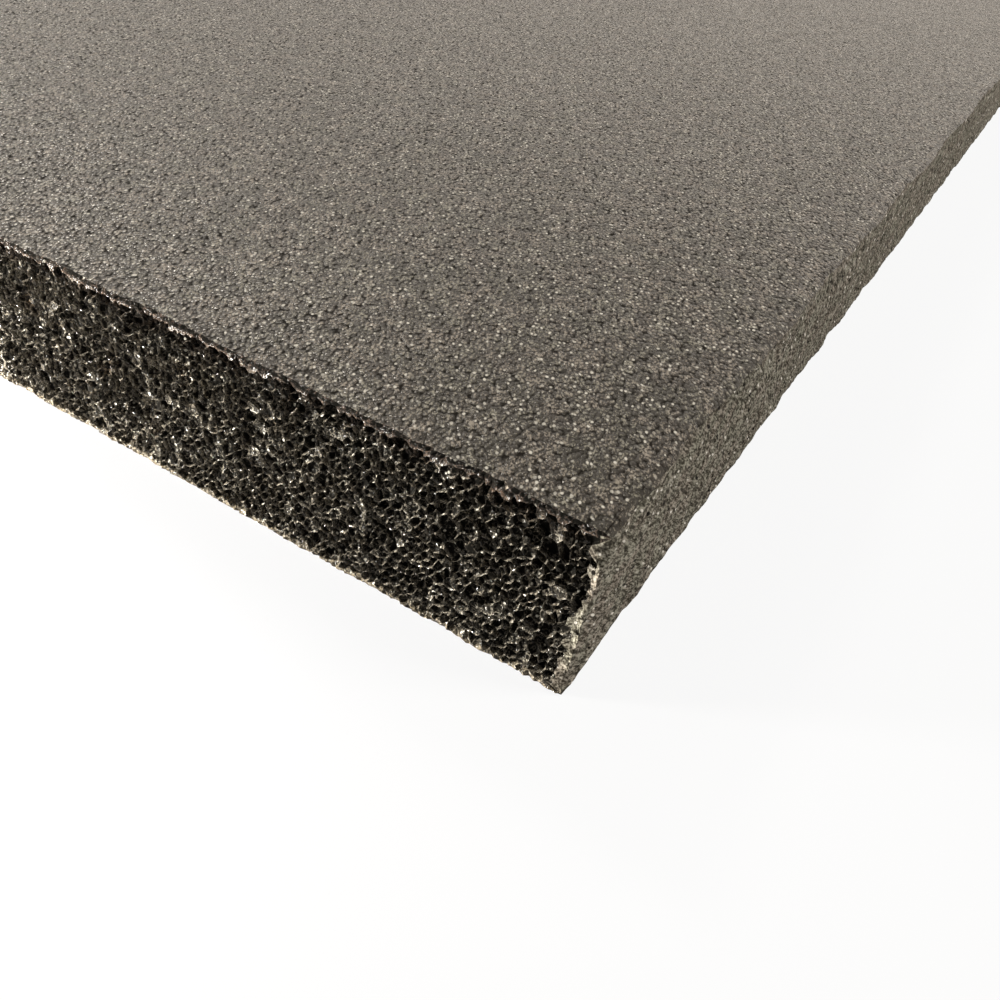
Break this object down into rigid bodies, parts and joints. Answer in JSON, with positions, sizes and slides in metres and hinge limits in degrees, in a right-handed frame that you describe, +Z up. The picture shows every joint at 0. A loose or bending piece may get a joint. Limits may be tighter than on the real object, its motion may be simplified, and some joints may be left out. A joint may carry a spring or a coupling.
{
  "type": "foam sheet",
  "caption": "Dark grey closed-cell foam sheet, a flat rectangular slab with pebbled skins and knife-cut edges that show open cells.",
  "frame": {"origin": "centre of the resting face, at the middle of the sheet's length and width", "axes": "+X along the length, +Y across the width, +Z up out of the top skin"},
  "size_m": [0.6, 0.3, 0.03],
  "materials": {
    "foam": "closed-cell polyethylene foam, satin pebbled skin on the large faces, open cells on the cut edges"
  },
  "bodies": {
    "root": {"foam_sheet": "foam"}
  },
  "joints": []
}
